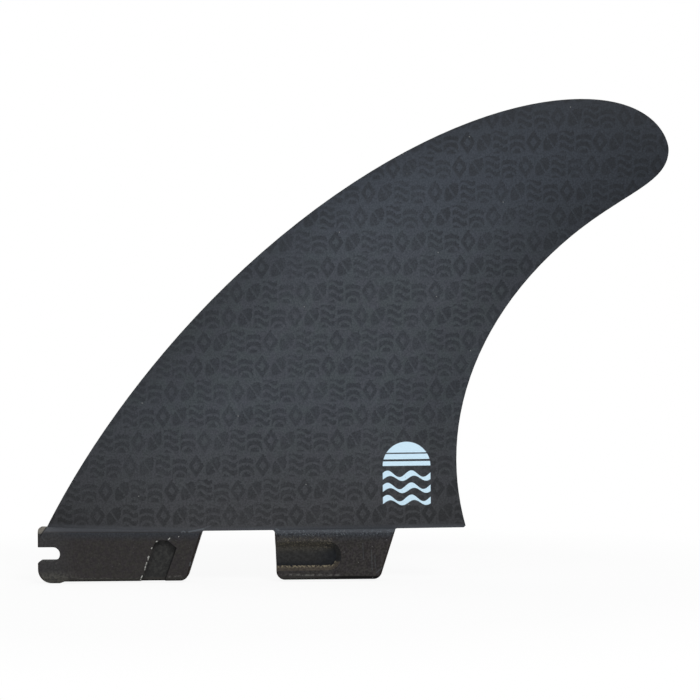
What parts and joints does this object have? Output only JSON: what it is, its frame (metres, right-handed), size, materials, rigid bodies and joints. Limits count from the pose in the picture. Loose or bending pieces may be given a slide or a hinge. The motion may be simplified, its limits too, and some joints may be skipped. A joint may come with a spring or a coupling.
{
  "type": "surfboard fin",
  "caption": "Swept side fin for a surfboard: a foiled blade with a hooked tip, on flat base tabs that click into a plug in the board.",
  "frame": {"origin": "on the plane where the blade rests on the board, midway between the tabs and midway through their thickness", "axes": "+X aft, towards the trailing edge; +Y towards the flat inside face, which faces the board's stringer; +Z out from the board, towards the tip"},
  "size_m": [0.1721, 0.0062, 0.1302],
  "materials": {
    "composite": "satin, tone-on-tone patterned laminate on the blade, rough brownish black on the tabs"
  },
  "bodies": {
    "root": {"fin": "composite"}
  },
  "joints": []
}
